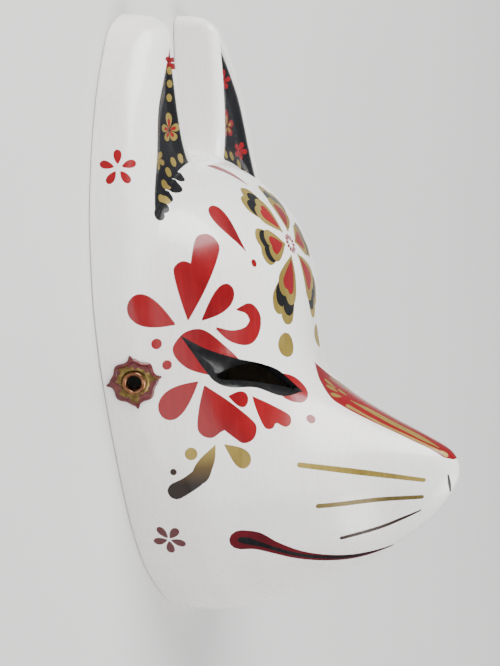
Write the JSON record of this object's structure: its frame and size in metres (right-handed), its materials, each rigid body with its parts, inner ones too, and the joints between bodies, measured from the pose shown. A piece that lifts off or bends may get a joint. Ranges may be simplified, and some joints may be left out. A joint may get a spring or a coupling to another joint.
{
  "type": "kitsune mask",
  "caption": "Full-face fox mask: a thin lacquered shell with upright ears, a pointed snout, narrow eye holes and cord eyelets in the cheeks, painted with petals, blossoms and whiskers.",
  "frame": {"origin": "centre of the bounding box in plan, on the plane of the open rim that the mask lies on", "axes": "+X across the face, +Y from the chin to the ear tips, +Z out of the face"},
  "size_m": [0.1748, 0.2746, 0.1345],
  "materials": {
    "lacquer": "gloss white lacquer over paper, painted red, gold and black",
    "painted_brass": "dark red paint over brass filigree",
    "brass": "polished copper-toned brass"
  },
  "bodies": {
    "root": {"mask_shell": "lacquer", "rosette_left": "painted_brass", "rosette_right": "painted_brass", "eyelet_left": "brass", "eyelet_right": "brass"}
  },
  "joints": []
}
